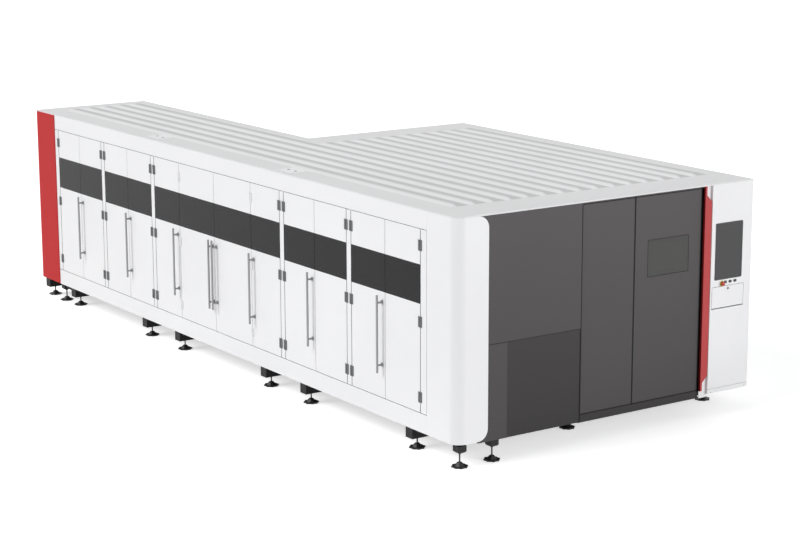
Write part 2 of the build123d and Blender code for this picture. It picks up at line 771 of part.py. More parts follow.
# The fixed chuck's octagonal housing on its pedestal, between the two beams of the tube bed
inner_left = rail_line_xs[0] + bed_beam_width / 2
inner_right = rail_line_xs[1] - bed_beam_width / 2
with BuildPart() as pedestal:
    block(inner_left, inner_right, fixed_chuck_y, fixed_chuck_y + fixed_chuck_length, skirt_height, bed_top)
    with BuildSketch(facing_front(fixed_chuck_y)):
        with Locations((chuck_x, tube_line_height)):
            RegularPolygon(chuck_housing, 8, major_radius=False, rotation=22.5)
        span(inner_left, inner_right, bed_top, tube_line_height - chuck_radius)
        with Locations((chuck_x, tube_line_height)):
            Circle(chuck_radius + chuck_running_gap, mode=Mode.SUBTRACT)
    extrude(amount=-fixed_chuck_length)
members.append(pedestal.part)
keep("base_frame", *members)


def foot(x, y, seat):
    """Levelling foot: a lobed pad, its tapered hub, a stud up to the seat and the lock nut under the seat."""
    rim = []
    for number in range(2 * pad_lobes):
        reach = pad_radius if number % 2 else pad_radius - lobe_depth
        angle = pi * number / pad_lobes
        rim.append((reach * cos(angle), reach * sin(angle)))
    hub_rise = pad_height - pad_rim
    with BuildPart() as whole:
        with BuildSketch():
            with BuildLine():
                Polyline(*rim, close=True)
            make_face()
        extrude(amount=pad_rim)
        with BuildSketch(Plane.XY.offset(pad_rim)):
            RegularPolygon(hub_radius, pad_lobes)
        hub_slope = (hub_radius - hub_top_radius) * cos(pi / pad_lobes) / hub_rise
        extrude(amount=hub_rise, taper=degrees(atan(hub_slope)))
        with BuildSketch(Plane.XY.offset(pad_height)):
            RegularPolygon(stud_radius, 6)
        extrude(amount=seat - pad_height)
        with BuildSketch(Plane.XY.offset(seat - nut_height)):
            RegularPolygon(nut_radius, 6)
        extrude(amount=nut_height)
    return whole.part.moved(Location((x, y, 0)))


# One foot under each end of the cross beams and one under each leg
foot_places = [(left + foot_inset, front + y, beam_bottom) for y in tube_beams]
foot_places += [(narrow_right - foot_inset, front + y, beam_bottom) for y in tube_beams]
foot_places += [(narrow_right + host_beam_start + foot_inset + 66, front + y, beam_bottom) for y in host_beams]
foot_places += [(right - foot_inset - 40, front + y, beam_bottom) for y in host_beams]
foot_places += [(x, y, leg_bottom - leg_taper) for x, y, top in leg_places]
keep("levelling_feet", *[foot(x, y, seat) for x, y, seat in foot_places])

# Linear rails with a rack beside each: two along the tube bed and one on the right-hand beam
rail_near = front + bed_near_end + wall_depth
with BuildPart() as bed_rails:
    for rail_x in rail_line_xs + [right_rail_x]:
        far = front + host_end - wall_depth if rail_x == right_rail_x else bed_far_end - wall_depth
        with BuildSketch(facing_front(rail_near)):
            with BuildLine():
                Polyline((rail_x - rail_size / 2, bed_top), (rail_x + rail_size / 2, bed_top),
                         (rail_x + rail_size / 2, bed_top + 12), (rail_x + rail_size / 4, bed_top + 18),
                         (rail_x + rail_size / 4, bed_top + 26), (rail_x + rail_size / 2, bed_top + 32),
                         (rail_x + rail_size / 2, bed_top + rail_size), (rail_x - rail_size / 2, bed_top + rail_size),
                         (rail_x - rail_size / 2, bed_top + 32), (rail_x - rail_size / 4, bed_top + 26),
                         (rail_x - rail_size / 4, bed_top + 18), (rail_x - rail_size / 2, bed_top + 12), close=True)
            make_face()
        extrude(amount=-(far - rail_near))
        beam_half = (right_beam_width if rail_x == right_rail_x else bed_beam_width) / 2
        rack_x = rail_x - beam_half - rack_width if rail_x == rail_line_xs[0] else rail_x + beam_half
        block(rack_x, rack_x + rack_width, rail_near, far, bed_top - rack_height, bed_top)
keep("bed_rails", bed_rails.part)

# Sheet table: two side cheeks with a ledge each, and saw-tooth slats that rest on the ledges
cheek_left = table_left - table_cheek / 2
cheek_right = table_right + table_cheek
slat_start = cheek_left + table_cheek
slat_end = table_right
slat_top = bed_top + table_rise
slat_low = slat_top - slat_depth
tooth_count = int((slat_end - slat_start) / tooth_pitch)
first_tooth = (slat_start + slat_end - tooth_count * tooth_pitch) / 2
table_pieces = []
for outer_x, inner_x, ledge_x in ((cheek_left, slat_start, slat_start + table_ledge),
                                  (cheek_right, slat_end, slat_end - table_ledge)):
    with BuildPart() as cheek:
        with BuildSketch(facing_front(front + table_near)):
            with BuildLine():
                Polyline((outer_x, bed_top), (inner_x, bed_top), (inner_x, slat_low - table_ledge),
                         (ledge_x, slat_low), (inner_x, slat_low), (inner_x, slat_top - tooth_height),
                         (outer_x, slat_top - tooth_height), close=True)
            make_face()
        extrude(amount=-(table_far - table_near))
    table_pieces.append(cheek.part)
teeth = []
for tooth in range(tooth_count):
    tooth_x = first_tooth + tooth * tooth_pitch
    teeth += [(tooth_x, slat_top - tooth_height), (tooth_x + tooth_pitch / 2, slat_top)]
teeth.append((first_tooth + tooth_count * tooth_pitch, slat_top - tooth_height))
slat_count = int((table_far - table_near) / slat_pitch)
for number in range(slat_count):
    slat_y = front + table_near + (number + 0.5) * slat_pitch - slat_thickness / 2
    with BuildPart() as slat:
        with BuildSketch(facing_front(slat_y)):
            with BuildLine():
                Polyline((slat_start, slat_low), (slat_start, slat_top - tooth_height), *teeth,
                         (slat_end, slat_top - tooth_height), (slat_end, slat_low), close=True)
            make_face()
        extrude(amount=-slat_thickness)
    table_pieces.append(slat.part)
keep("slat_table", *table_pieces)


def slider_block(x, y_low, y_high, top):
    """Bearing block that straddles a rail with a running gap, up to the given height."""
    half = gantry_leg_width / 2
    rail_half = rail_size / 2 + slide_gap
    block(x - half, x + half, y_low, y_high, bed_top + rail_size + slide_gap, top)
    block(x - half, x - rail_half, y_low, y_high, bed_top + 2, bed_top + rail_size + slide_gap)
    block(x + rail_half, x + half, y_low, y_high, bed_top + 2, bed_top + rail_size + slide_gap)


# Gantry: a beam on two tapered legs that straddle the rails
gantry_y = front + gantry_rest
gantry_depth, gantry_rise = gantry_beam_size
gantry_left_x = rail_line_xs[0]
leg_base = bed_top + rail_size + gantry_block
with BuildPart() as gantry:
    for leg_x in (gantry_left_x, right_rail_x):
        slider_block(leg_x, gantry_y - gantry_leg_length / 2, gantry_y + gantry_leg_length / 2, leg_base)
        with BuildSketch(Plane.YZ.offset(leg_x - gantry_leg_width / 2)):
            with BuildLine():
                Polyline((gantry_y - gantry_leg_length / 2, leg_base), (gantry_y + gantry_leg_length / 2, leg_base),
                         (gantry_y + gantry_depth / 2, gantry_beam_bottom),
                         (gantry_y - gantry_depth / 2, gantry_beam_bottom), close=True)
            make_face()
        extrude(amount=gantry_leg_width)
    with BuildSketch(Plane.YZ.offset(gantry_left_x - gantry_leg_width / 2)):
        with Locations((gantry_y, gantry_beam_bottom + gantry_rise / 2)):
            Rectangle(gantry_depth, gantry_rise)
            Rectangle(gantry_depth - 40, gantry_rise - 40, mode=Mode.SUBTRACT)
    extrude(amount=right_rail_x - gantry_left_x + gantry_leg_width)
    for rail_z in (gantry_beam_bottom + 40, gantry_beam_bottom + gantry_rise - 40):
        block(gantry_left_x, right_rail_x, gantry_y - gantry_depth / 2 - 20, gantry_y - gantry_depth / 2,
              rail_z - 12, rail_z + 12)
    # A drive motor stands on a bracket beside each leg, over the rack
    for leg_x, outward in ((gantry_left_x, -1), (right_rail_x, 1)):
        leg_face = leg_x + outward * gantry_leg_width / 2
        motor_face = leg_face + outward * motor_size
        near_x, far_x = sorted((leg_face, motor_face))
        block(near_x, far_x, gantry_y - motor_size, gantry_y + motor_size, leg_base - gantry_block / 2, leg_base)
        block(near_x, far_x, gantry_y - motor_size / 2, gantry_y + motor_size / 2, leg_base, leg_base + motor_rise)
keep("gantry_beam", gantry.part)

# Cross carriage on the beam's two rails, with the slide for the head
carriage_x = left + carriage_rest
carriage_width, carriage_depth, carriage_rise = carriage_size
carriage_back = gantry_y - gantry_depth / 2 - 20 - slide_gap
carriage_bottom = gantry_beam_bottom + gantry_rise / 2 - carriage_rise / 2
head_width, head_depth, head_rise = head_size
with BuildPart() as carriage:
    block(carriage_x - carriage_width / 2, carriage_x + carriage_width / 2, carriage_back - carriage_depth,
          carriage_back, carriage_bottom, carriage_bottom + carriage_rise)
    carriage_edges = carriage.edges().filter_by(Axis.Y)
    chamfer(carriage_edges, 20)
    for way_x in (carriage_x - head_width / 4, carriage_x + head_width / 4):
        block(way_x - 8, way_x + 8, carriage_back - carriage_depth - 14, carriage_back - carriage_depth,
              carriage_bottom, carriage_bottom + carriage_rise)
keep("carriage", carriage.part)

# Cutting head: a body on the slide above a nozzle turned in three steps
head_back = carriage_back - carriage_depth - 14 - slide_gap
head_y = head_back - head_depth / 2
nozzle_top = head_tip_height + nozzle_length
nozzle_step = nozzle_length / 3
nozzle_neck_radius = (nozzle_radius + nozzle_tip_radius) / 2
with BuildPart() as cutting_head:
    block(carriage_x - head_width / 2, carriage_x + head_width / 2, head_back - head_depth, head_back,
          nozzle_top, nozzle_top + head_rise)
    chamfer(cutting_head.edges().filter_by(Axis.Z), 12)
    with BuildSketch(Plane.YZ.offset(carriage_x)):
        with BuildLine():
            Polyline((head_y, head_tip_height), (head_y + nozzle_tip_radius, head_tip_height),
                     (head_y + nozzle_tip_radius, head_tip_height + nozzle_step),
                     (head_y + nozzle_neck_radius, head_tip_height + nozzle_step),
                     (head_y + nozzle_neck_radius, nozzle_top - nozzle_step),
                     (head_y + nozzle_radius, nozzle_top - nozzle_step),
                     (head_y + nozzle_radius, nozzle_top), (head_y, nozzle_top), close=True)
        make_face()
    revolve(axis=Axis((carriage_x, head_y, 0), (0, 0, 1)))
keep("cutting_head", cutting_head.part)


# Far chuck's carriage, straddling both rails of the tube bed, with an octagonal housing like the fixed one
moving_y = front + moving_chuck_rest
moving_half = fixed_chuck_length / 2
with BuildPart() as chuck_carriage:
    for rail_x in rail_line_xs:
        slider_block(rail_x, moving_y - moving_half, moving_y + moving_half, leg_base)
    block(rail_line_xs[0] + gantry_leg_width / 2, rail_line_xs[1] - gantry_leg_width / 2,
          moving_y - moving_half, moving_y + moving_half, bed_top + rail_size + slide_gap, leg_base)
    with BuildSketch(facing_front(moving_y - moving_half)):
        with Locations((chuck_x, tube_line_height)):
            RegularPolygon(chuck_housing, 8, major_radius=False, rotation=22.5)
        span(inner_left, inner_right, leg_base, tube_line_height - chuck_radius)
        with Locations((chuck_x, tube_line_height)):
            Circle(chuck_radius + chuck_running_gap, mode=Mode.SUBTRACT)
    extrude(amount=-fixed_chuck_length)
keep("chuck_carriage", chuck_carriage.part)

# Chucks: turned bodies that run in the housings, each with four jaws on its face
for name, housing_near in (("front_chuck", fixed_chuck_y), ("rear_chuck", moving_y - moving_half)):
    with BuildPart() as chuck:
        face_y = housing_near - chuck_proud
        with BuildSketch(facing_front(face_y)):
            with Locations((chuck_x, tube_line_height)):
                Circle(chuck_radius)
                Circle(chuck_bore, mode=Mode.SUBTRACT)
        extrude(amount=-(fixed_chuck_length + chuck_proud))
        with BuildSketch(facing_front(face_y)):
            with Locations((chuck_x, tube_line_height)):
                with PolarLocations((chuck_bore + chuck_radius) / 2, 4):
                    Rectangle(jaw_length, jaw_width)
        extrude(amount=jaw_slide)
        with BuildSketch(facing_front(face_y)):
            with Locations((chuck_x, tube_line_height)):
                with PolarLocations((chuck_bore + chuck_radius - jaw_length + jaw_block) / 2, 4):
                    Rectangle(jaw_block, jaw_width)
        extrude(amount=jaw_reach)
    keep(name, chuck.part)

# Laser source cabinet behind the table, standing on the last cross beam: two doors over a set-back plinth
source_width, source_depth, source_height = source_size
source_x = left + source_left_margin
source_y = front + host_beams[2]
source_face = source_y - source_depth / 2
plinth_top = skirt_height + source_plinth
source_top = skirt_height + source_height
with BuildPart() as laser_source:
    block(source_x, source_x + source_width, source_face, source_y + source_depth / 2, skirt_height, source_top)
    block(source_x, source_x + source_width, source_face, source_face + 3 * source_gap,
          skirt_height, plinth_top, mode=Mode.SUBTRACT)
    for gap_x in (source_x + 3 * source_gap, source_x + source_width / 2, source_x + source_width - 3 * source_gap):
        block(gap_x - source_gap / 2, gap_x + source_gap / 2, source_face, source_face + source_gap,
              plinth_top + 3 * source_gap, source_top - 3 * source_gap, mode=Mode.SUBTRACT)
keep("laser_source", laser_source.part)
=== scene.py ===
"""Looks for the enclosed sheet and tube cutting machine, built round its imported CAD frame, in metres."""

import json
import math

import bpy
import numpy as np
from mathutils import Matrix, Vector

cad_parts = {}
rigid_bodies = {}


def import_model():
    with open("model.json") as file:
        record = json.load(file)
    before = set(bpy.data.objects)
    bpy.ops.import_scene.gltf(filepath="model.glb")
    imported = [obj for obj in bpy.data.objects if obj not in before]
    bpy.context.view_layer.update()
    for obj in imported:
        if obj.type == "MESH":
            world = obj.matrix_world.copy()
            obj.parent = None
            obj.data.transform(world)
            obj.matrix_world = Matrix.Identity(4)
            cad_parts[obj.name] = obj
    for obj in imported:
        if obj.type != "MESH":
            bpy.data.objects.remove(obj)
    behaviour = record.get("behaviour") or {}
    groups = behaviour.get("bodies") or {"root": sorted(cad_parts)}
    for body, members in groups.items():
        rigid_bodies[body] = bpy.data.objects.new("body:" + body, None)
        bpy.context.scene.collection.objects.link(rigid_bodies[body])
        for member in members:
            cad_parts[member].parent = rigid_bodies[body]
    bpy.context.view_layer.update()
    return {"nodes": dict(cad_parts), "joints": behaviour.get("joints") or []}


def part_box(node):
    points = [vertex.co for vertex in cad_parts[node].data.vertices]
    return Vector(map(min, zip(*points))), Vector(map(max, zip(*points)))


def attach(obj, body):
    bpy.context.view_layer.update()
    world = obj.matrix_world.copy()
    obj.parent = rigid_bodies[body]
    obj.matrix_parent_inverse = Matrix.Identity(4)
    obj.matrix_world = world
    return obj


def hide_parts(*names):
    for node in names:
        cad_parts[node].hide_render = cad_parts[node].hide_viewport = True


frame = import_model()
nodes = frame["nodes"]


# Base frame: welded square tube and its corner legs, black stove enamel over mill scale.
# The levelling feet under it are black too, cast pads on threaded studs.

def new_material(name):
    """Material, its node tree, its shader and the place on a piece that its patterns are laid by."""
    material = bpy.data.materials.new(name)
    material.use_nodes = True
    tree = material.node_tree
    place = tree.nodes.new("ShaderNodeTexCoord")
    return material, tree, tree.nodes["Principled BSDF"], place.outputs["Object"]


def noise(tree, place, scale, detail=2.0):
    """Cloudy pattern between 0 and 1, its scale in clouds to the metre."""
    pattern = tree.nodes.new("ShaderNodeTexNoise")
    pattern.inputs["Scale"].default_value = scale
    pattern.inputs["Detail"].default_value = detail
    tree.links.new(place, pattern.inputs["Vector"])
    return pattern.outputs["Fac"]


def tones(tree, pattern, colour, drift, start=0.0, end=1.0):
    """Colour times 1 - drift where a pattern is at most start, and 1 + drift where it is at least end."""
    ramp = tree.nodes.new("ShaderNodeValToRGB")
    dark, light = ramp.color_ramp.elements
    dark.position = start
    light.position = end
    dark.color = [channel * (1 - drift) for channel in colour] + [1]
    light.color = [min(channel * (1 + drift), 1) for channel in colour] + [1]
    tree.links.new(pattern, ramp.inputs["Fac"])
    return ramp.outputs["Color"]


def coordinate(tree, place, axis):
    """One axis, X, Y or Z, of a place."""
    axes = tree.nodes.new("ShaderNodeSeparateXYZ")
    tree.links.new(place, axes.inputs["Vector"])
    return axes.outputs[axis]


def ranged(tree, value, start, end, low, high):
    """Node that carries a value from the range start to end over to the range low to high."""
    span = tree.nodes.new("ShaderNodeMapRange")
    span.inputs["From Min"].default_value = start
    span.inputs["From Max"].default_value = end
    span.inputs["To Min"].default_value = low
    span.inputs["To Max"].default_value = high
    tree.links.new(value, span.inputs["Value"])
    return span


def shaded(tree, colour, factor):
    """Colour times a factor."""
    product = tree.nodes.new("ShaderNodeVectorMath")
    product.operation = "SCALE"
    tree.links.new(colour, product.inputs[0])
    tree.links.new(factor, product.inputs["Scale"])
    return product.outputs["Vector"]


def wear(tree, shader, pattern, low, high):
    """Roughness between low and high, by a pattern."""
    tree.links.new(ranged(tree, pattern, 0, 1, low, high).outputs["Result"], shader.inputs["Roughness"])


def relief(tree, shader, pattern, strength, depth):
    """Bump from a pattern whose full height is the depth, in metres."""
    bump = tree.nodes.new("ShaderNodeBump")
    bump.inputs["Strength"].default_value = strength
    bump.inputs["Distance"].default_value = depth
    tree.links.new(pattern, bump.inputs["Height"])
    tree.links.new(bump.outputs["Normal"], shader.inputs["Normal"])


def powder_coat(name, colour, roughness, peel=0.15, drift=0.02, coat=0.0, shine=0.5, shade_fade=None):
    """Baked powder paint with 2 mm orange peel in the bump.

    The tone is colour, in linear light, times a cloud noise between 1 - drift and 1 + drift.
    fade is (low z, high z, share), painted shade: the tone falls to that share of itself from the high level
    to the low.
    """
    material, tree, shader, place = new_material(name)
    cloud = noise(tree, place, scale=0.8, detail=3.0)
    painted = tones(tree, cloud, colour, drift, start=0.3, end=0.7)
    if shade_fade:
        low_z, high_z, share = shade_fade
        height = ranged(tree, coordinate(tree, place, "Z"), low_z, high_z, share, 1.0)
        painted = shaded(tree, painted, height.outputs["Result"])
    tree.links.new(painted, shader.inputs["Base Color"])
    wear(tree, shader, cloud, roughness - 0.04, roughness + 0.06)
    relief(tree, shader, noise(tree, place, scale=420.0), peel, depth=0.0004)
    shader.inputs["Coat Weight"].default_value = coat
    shader.inputs["Coat Roughness"].default_value = 0.15
    shader.inputs["Specular IOR Level"].default_value = shine
    return material


def finish(names, material):
    """Puts one material on the whole of each named CAD node."""
    for name in names:
        mesh = nodes[name].data
        mesh.materials.clear()
        mesh.materials.append(material)


def part_of(name, material, chosen):
    """Second finish, on the faces of a CAD node that the rule picks by their centres and normals."""
    mesh = nodes[name].data
    count = len(mesh.polygons)
    centres = np.empty(count * 3)
    normals = np.empty(count * 3)
    slots = np.empty(count, dtype=np.int32)
    mesh.polygons.foreach_get("center", centres)
    mesh.polygons.foreach_get("normal", normals)
    mesh.polygons.foreach_get("material_index", slots)
    mesh.materials.append(material)
    slots[chosen(centres.reshape(-1, 3), normals.reshape(-1, 3))] = len(mesh.materials) - 1
    mesh.polygons.foreach_set("material_index", slots)
    mesh.update()


frame_black = powder_coat("frame_black", (0.008, 0.008, 0.009), 0.5, peel=0.25, shine=0.25)
finish(["base_frame"], frame_black)
foot_black = powder_coat("foot_black", (0.012, 0.012, 0.013), 0.4, peel=0.3, drift=0.1, shine=0.4)
finish(["levelling_feet"], foot_black)

# White cladding: door frame, corner column and wall trays. Folded mild steel sheet, powder coated
# in a signal white with a fine orange peel, and screwed to the frame from inside.
# Black edge trim lines the door openings.
cladding_white = powder_coat("cladding_white", (0.83, 0.83, 0.84), 0.42)
seal_black = powder_coat("seal_black", (0.01, 0.01, 0.01), 0.7, peel=0.05, shine=0.2)
finish(["side_frame", "corner_column", "rear_walls"], cladding_white)
sill_level = 0.35
header_level = 2.15
openings_reach = 3.85


def inner_returns(centre, normal):
    """Faces of the door frame that look into an opening, between the sill and the header."""
    between = (centre[:, 2] > sill_level) & (centre[:, 2] < header_level)
    return between & (abs(centre[:, 1]) < openings_reach) & (abs(normal[:, 0]) < 0.5)


part_of("side_frame", seal_black, inner_returns)

# Far end panel: the same folded sheet in signal red, a semi-gloss coat.
# It closes the far end of the long bay and laps a little over the white skin.
trim_red = powder_coat("trim_red", (0.5, 0.018, 0.02), 0.42, peel=0.08, shine=0.08)
finish(["end_panel"], trim_red)


# Roof: pressed trapezoid sheet in the same white, painted darker than the walls as shade.
# Painted shade darkens the rib tops and the slopes that face +X, away from the left lamp; blind rivets hold
# the border.

def turned(profile, centres, axis, sides=24):
    """Points of a lathe surface: each (radius, distance) of the profile is carried round the axis.

    The result is points[copy, row, column]; every copy is the same shape at one of the centres.
    """
    profile = np.array(profile)
    centres = np.atleast_2d(centres)
    axis = np.array(axis, dtype=float)
    first = np.roll(axis, 1)
    second = np.cross(axis, first)
    angle = np.linspace(0, 2 * math.pi, sides, endpoint=False)
    ring = np.cos(angle)[:, None] * first + np.sin(angle)[:, None] * second
    reach = profile[:, 0][None, :, None, None] * ring[None, None]
    along = profile[:, 1][None, :, None, None] * axis
    return centres[:, None, None, :] + reach + along


def skin(name, points, material, body, ring_of_rows=False, crease=35.0):
    """Mesh over a stack of grids: columns close into rings, rows run along and end in flat caps.

    ring_of_rows joins the last row to the first, so no cap is needed.
    Edges that turn more than the crease angle, in degrees, stay sharp.
    """
    copies, rows, columns = points.shape[:3]
    row = np.arange(rows if ring_of_rows else rows - 1)[:, None]
    column = np.arange(columns)[None, :]
    ahead = (column + 1) % columns
    here = row * columns
    above = (row + 1) % rows * columns
    quads = np.stack([here + column, here + ahead, above + ahead, above + column], axis=-1).reshape(-1, 4)
    starts = np.arange(copies)[:, None, None] * rows * columns
    faces = (quads[None] + starts).reshape(-1, 4).tolist()
    if not ring_of_rows:
        around = np.arange(columns)
        faces += (starts[:, 0] + around[::-1]).tolist()
        faces += (starts[:, 0] + (rows - 1) * columns + around).tolist()
    mesh = bpy.data.meshes.new(name)
    mesh.from_pydata(points.reshape(-1, 3).tolist(), [], faces)
    mesh.polygons.foreach_set("use_smooth", np.ones(len(mesh.polygons), dtype=bool))
    mesh.set_sharp_from_angle(angle=math.radians(crease))
    mesh.materials.append(material)
    piece = bpy.data.objects.new(name, mesh)
    bpy.context.scene.collection.objects.link(piece)
    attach(piece, body)
    return piece


def maths(tree, operation, value, other=None):
    """One step of arithmetic on a value; other is a number or a second value."""
    step = tree.nodes.new("ShaderNodeMath")
    step.operation = operation
    tree.links.new(value, step.inputs[0])
    if isinstance(other, float):
        step.inputs[1].default_value = other
    elif other is not None:
        tree.links.new(other, step.inputs[1])
    return step.outputs["Value"]


def paint_rib_shade(material, start, pitch, share):
    """Paints shade across the ribs: full tone on the lit side of each, painted shade over the rest.

    The place across a rib is the fraction of (x - start) / pitch.
    """
    # The painted shade begins at the first fraction across a rib and is full from the second.
    lit_to, shade_from = 0.19, 0.38
    tree = material.node_tree
    shader = tree.nodes["Principled BSDF"]
    x = coordinate(tree, tree.nodes["Texture Coordinate"].outputs["Object"], "X")
    ratio = maths(tree, "DIVIDE", maths(tree, "SUBTRACT", x, start), pitch)
    rib_shade = ranged(tree, maths(tree, "FRACT", ratio), lit_to, shade_from, 1.0, share)
    rib_shade.interpolation_type = "SMOOTHSTEP"
    painted = shader.inputs["Base Color"].links[0].from_socket
    tree.links.new(shaded(tree, painted, rib_shade.outputs["Result"]), shader.inputs["Base Color"])


def corners_of(name):
    """Low and high corner of a CAD node's box."""
    low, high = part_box(name)
    return np.array(low), np.array(high)


slack = 0.0003
roof_low, roof_high = corners_of("roof")
border_top = 2.3
plate_top = 2.306
first_rib = -1.477
rib_pitch = 0.207
rib_shade_share = 0.66
hole_x = -1.5925
hole_ys = (-1.403, -1.273, 1.397, 1.527)
hole_reach = 0.0165


def rib_faces(centre, normal):
    """Slopes and ends of the ribs, and their tops, within the slack of the highest level."""
    sloping = (normal[:, 2] > 0.1) & (normal[:, 2] < 0.99)
    return sloping | (centre[:, 2] > roof_high[2] - slack)


def plate_faces(centre, normal):
    """Tops of the two lifting plates."""
    return abs(centre[:, 2] - plate_top) < slack


def shaded_lifting_holes(centre, normal):
    """Walls of the four holes, 16 mm in radius, in the lifting plates, painted black as shade."""
    near = np.zeros(len(centre), dtype=bool)
    for hole_y in hole_ys:
        near |= np.hypot(centre[:, 0] - hole_x, centre[:, 1] - hole_y) < hole_reach
    return near


# The border and ribs take darker copies of the cladding white as painted shade; the lifting plates keep the
# full white.
roof_white_shaded = powder_coat("roof_white_shaded", (0.73, 0.73, 0.735), 0.5, drift=0.03)
roof_rib_shaded = powder_coat("roof_rib_shaded", (0.79, 0.79, 0.795), 0.5, drift=0.03)
# Painted shade across the ribs, falling to 0.66 of the tone on their tops and +X slopes.
paint_rib_shade(roof_rib_shaded, first_rib, rib_pitch, rib_shade_share)
finish(["roof"], roof_white_shaded)
part_of("roof", roof_rib_shaded, rib_faces)
part_of("roof", cladding_white, plate_faces)
# The hole walls take the black seal paint as painted shade.
part_of("roof", seal_black, shaded_lifting_holes)
rivet = [(0.0075, -0.001), (0.0075, 0.0008), (0.0055, 0.0024), (0.0022, 0.0032)]
rivet_pitch = 0.3
rivet_inset = 0.035
rivet_ends = (0.12, 0.1)
rivet_y = np.arange(roof_low[1] + rivet_ends[0], roof_high[1] - rivet_ends[1], rivet_pitch)
rivet_x = np.full(len(rivet_y), roof_low[0] + rivet_inset)
rivet_places = np.stack([rivet_x, rivet_y, np.full(len(rivet_y), border_top)], axis=-1)
skin("roof_rivets", turned(rivet, rivet_places, (0, 0, 1), sides=10), roof_white_shaded, "machine")


# Rails: the machined ways of the bed and the narrow bay, with their racks. Ground steel, oiled,
# and bolted down from above.

def brushed_steel(name, colour, roughness, grain, metal=1.0):
    """Bare steel whose grain is a noise drawn out into lines.

    grain is how many times finer the noise is along X, Y and Z; the lines run where it is least.
    """
    material, tree, shader, place = new_material(name)
    shader.inputs["Metallic"].default_value = metal
    stretch = tree.nodes.new("ShaderNodeMapping")
    stretch.inputs["Scale"].default_value = grain
    tree.links.new(place, stretch.inputs["Vector"])
    lines = noise(tree, stretch.outputs["Vector"], scale=60.0, detail=4.0)
    tree.links.new(tones(tree, lines, colour, drift=0.15), shader.inputs["Base Color"])
    wear(tree, shader, lines, roughness - 0.07, roughness + 0.1)
    relief(tree, shader, lines, strength=0.2, depth=0.0002)
    return material


ground_steel = brushed_steel("ground_steel", (0.5, 0.5, 0.5), 0.3, (20, 1, 20))
finish(["bed_rails"], ground_steel)

# Slat table: plasma-cut mild steel slats, scorched brown along their teeth.
# They stand in the bed's side bars and are changed when they are burnt through.
slat_steel = brushed_steel("slat_steel", (0.24, 0.2, 0.17), 0.55, (1, 20, 1))
finish(["slat_table"], slat_steel)

# Gantry, cross carriage and the moving chuck's carriage: cast and machined bodies on the rails,
# brushed with grey machine enamel.
machine_grey = powder_coat("machine_grey", (0.2, 0.215, 0.23), 0.4, peel=0.2)
finish(["gantry_beam", "carriage", "chuck_carriage"], machine_grey)

# Chucks and cutting head: turned steel, satin, with a copper nozzle at the head's tip.
# One chuck turns on a pedestal and one on its carriage; the head slides on the cross carriage.
chuck_steel = brushed_steel("chuck_steel", (0.42, 0.42, 0.43), 0.32, (1, 12, 1))
finish(["front_chuck", "rear_chuck", "cutting_head"], chuck_steel)
nozzle_copper = brushed_steel("nozzle_copper", (0.62, 0.3, 0.17), 0.3, (1, 1, 6))
nozzle_height = 0.03
nozzle_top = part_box("cutting_head")[0][2] + nozzle_height
part_of("cutting_head", nozzle_copper, lambda centre, normal: centre[:, 2] < nozzle_top)

# Laser source: a white sheet cabinet against the bay's inner wall.
# It stands on a plinth that is set back and painted grey.
finish(["laser_source"], cladding_white)
plinth_grey = powder_coat("plinth_grey", (0.09, 0.095, 0.1), 0.5)
plinth_height = 0.08
plinth_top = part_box("laser_source")[0][2] + plinth_height
part_of("laser_source", plinth_grey, lambda centre, normal: centre[:, 2] < plinth_top)

# Dark front: fixed panel, kick panel and sliding door, in a fine-textured charcoal coat.
# Painted shade darkens it towards the floor; seals fill its joints, and the inner faces are black primer.
collar_proud = 0.008
front_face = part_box("console_body")[0][1] + collar_proud
# Painted shade: both coats fall to 0.7 of their tone towards the floor.
front_charcoal = powder_coat("front_charcoal", (0.078, 0.073, 0.075), 0.45, peel=0.3, drift=0.04, shine=0.22,
                             shade_fade=(0.2, 2.3, 0.7))
# The kick panel and the sill take the same coat at less than half its tone, as painted shade where they are
# set back.
kick_charcoal_shaded = powder_coat("kick_charcoal_shaded", (0.036, 0.033, 0.034), 0.45, peel=0.3, drift=0.04, shine=0.22,
                            shade_fade=(0.2, 1.1, 0.7))
finish(["front_panels", "front_door"], front_charcoal)
kick_depths = (0.0035, 0.04)
groove_depths = (0.0085, 0.0095)
header_depth = 0.07
door_back = -4.2945


def between_depths(centre, depths):
    """Faces that lie between two depths behind the front face."""
    return (centre[:, 1] > front_face + depths[0]) & (centre[:, 1] < front_face + depths[1])


def kick_faces(centre, normal):
    """Kick panel and the sill under the door, both set a little back and painted darker as shade."""
    return between_depths(centre, kick_depths) & (normal[:, 1] < -0.5)


def joint_faces(centre, normal):
    """Groove bottoms, returns and the header behind the door's top edge."""
    header = centre[:, 1] > front_face + header_depth
    return between_depths(centre, groove_depths) | header | (normal[:, 1] > -0.5)


part_of("front_panels", kick_charcoal_shaded, kick_faces)
part_of("front_panels", seal_black, joint_faces)
part_of("front_door", seal_black, lambda centre, normal: centre[:, 1] > door_back)


# Front window: laser-safe filter glass in an opening of the sliding door.
# A rubber gasket holds it, with a bead that rolls over the edge of the glass.

def filter_glass(name, tint, roughness, index):
    """Tinted sheet glass, its colour taken off at both faces, with faint waves and smears.

    index is the index of refraction, low where the glass has an anti-glare coat.
    """
    material, tree, shader, place = new_material(name)
    shader.inputs["Base Color"].default_value = (*tint, 1)
    shader.inputs["Transmission Weight"].default_value = 0.6
    shader.inputs["IOR"].default_value = index
    waves = noise(tree, place, scale=5.0)
    relief(tree, shader, waves, strength=0.05, depth=0.001)
    wear(tree, shader, waves, roughness - 0.03, roughness + 0.04)
    return material


